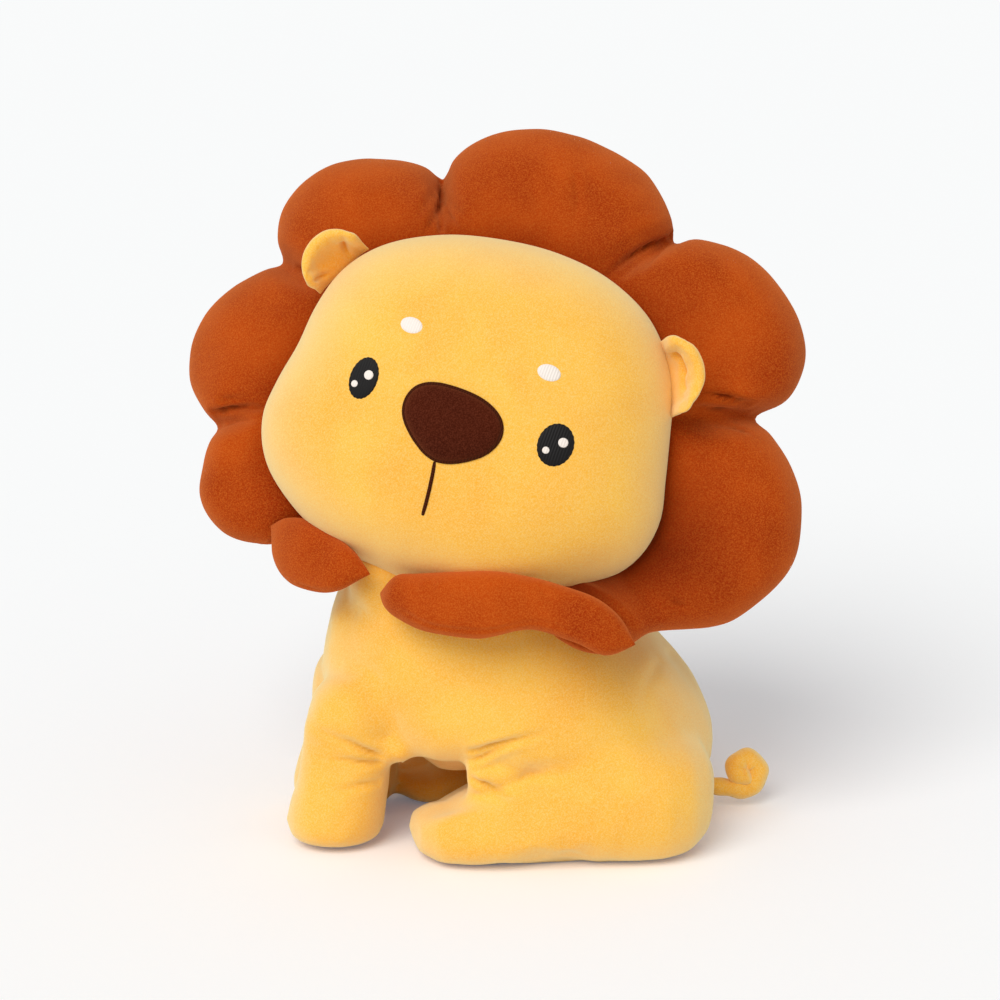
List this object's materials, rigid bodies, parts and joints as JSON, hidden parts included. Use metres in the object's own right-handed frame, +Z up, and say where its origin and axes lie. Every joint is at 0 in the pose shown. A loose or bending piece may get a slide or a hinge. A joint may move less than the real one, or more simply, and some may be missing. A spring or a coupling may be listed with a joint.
{
  "type": "plush lion",
  "caption": "Sitting plush lion with its head turned and tilted, a mane of stuffed petal-like lobes, cupped ears, embroidered face and a thin curled tail.",
  "frame": {"origin": "middle of the flat seat panel's underside, on the ground", "axes": "+Z up; the body lies along X with its chest towards -X; the lion's left side is at -Y, and the face is turned towards -Y"},
  "size_m": [0.3229, 0.2243, 0.3734],
  "materials": {
    "bean_bag_canvas": "plain woven cloth",
    "black_thread": "satin-stitched embroidery thread, slight sheen",
    "brown_thread": "satin-stitched embroidery thread, slight sheen",
    "brown_velour": "short-pile velour, matte",
    "polyester_fibre": "loose fibre filling",
    "rust_velour": "short-pile velour, matte",
    "white_thread": "satin-stitched embroidery thread, slight sheen",
    "yellow_velour": "short-pile velour, matte"
  },
  "bodies": {
    "body": {"torso_cover": "yellow_velour", "torso_filling": "polyester_fibre", "bean_bag": "bean_bag_canvas", "seat_panel": "yellow_velour", "left_front_leg_cover": "yellow_velour", "left_front_leg_filling": "polyester_fibre", "left_hind_leg_cover": "yellow_velour", "left_hind_leg_filling": "polyester_fibre", "right_front_leg_cover": "yellow_velour", "right_front_leg_filling": "polyester_fibre", "right_hind_leg_cover": "yellow_velour", "right_hind_leg_filling": "polyester_fibre"},
    "head": {"face_cover": "yellow_velour", "head_back_cover": "rust_velour", "head_filling": "polyester_fibre", "mane_lobe_top": "rust_velour", "mane_lobe_upper_right": "rust_velour", "mane_lobe_right": "rust_velour", "mane_lobe_lower_right": "rust_velour", "mane_lobe_lower_left": "rust_velour", "mane_lobe_left": "rust_velour", "mane_lobe_upper_left": "rust_velour", "nose_pad": "brown_velour", "nose_edge": "brown_thread", "mouth_stitch": "brown_thread", "left_eye": "black_thread", "left_eye_big_glint": "white_thread", "left_eye_small_glint": "white_thread", "left_brow": "white_thread", "right_eye": "black_thread", "right_eye_big_glint": "white_thread", "right_eye_small_glint": "white_thread", "right_brow": "white_thread"},
    "chin_lobe_right": {"chin_lobe_right": "rust_velour"},
    "chin_lobe_left": {"chin_lobe_left": "rust_velour"},
    "left_ear": {"left_ear": "yellow_velour"},
    "right_ear": {"right_ear": "yellow_velour"},
    "tail": {"tail": "yellow_velour"}
  },
  "joints": [
    {"name": "head_tilt", "type": "hinge", "parent": "body", "child": "head", "pos_m": [-0.09587, -0.02013, 0.15015], "axis": [0.3036, 0.9074, -0.2907], "range_deg": [-6, 6], "stiffness_Nm_per_rad": 2},
    {"name": "chin_lobe_right_lift", "type": "hinge", "parent": "head", "child": "chin_lobe_right", "pos_m": [-0.06486, -0.08385, 0.16081], "axis": [-0.9128, 0.4068, 0.0354], "range_deg": [0, 12], "stiffness_Nm_per_rad": 0.03},
    {"name": "chin_lobe_left_lift", "type": "hinge", "parent": "head", "child": "chin_lobe_left", "pos_m": [-0.15652, -0.01213, 0.17456], "axis": [-0.6696, 0.675, 0.3097], "range_deg": [0, 12], "stiffness_Nm_per_rad": 0.03},
    {"name": "left_ear_flex", "type": "hinge", "parent": "head", "child": "left_ear", "pos_m": [-0.13148, 0.02671, 0.3039], "axis": [0.7379, -0.0309, 0.6742], "range_deg": [-12, 12], "stiffness_Nm_per_rad": 0.02},
    {"name": "right_ear_flex", "type": "hinge", "parent": "head", "child": "right_ear", "pos_m": [0.03517, -0.04566, 0.25205], "axis": [0.0871, -0.3303, -0.9399], "range_deg": [-12, 12], "stiffness_Nm_per_rad": 0.02},
    {"name": "tail_swing", "type": "hinge", "parent": "body", "child": "tail", "pos_m": [0.06379, -0.01, 0.0135], "axis": [0, 0, 1], "range_deg": [-20, 20], "stiffness_Nm_per_rad": 0.01}
  ]
}
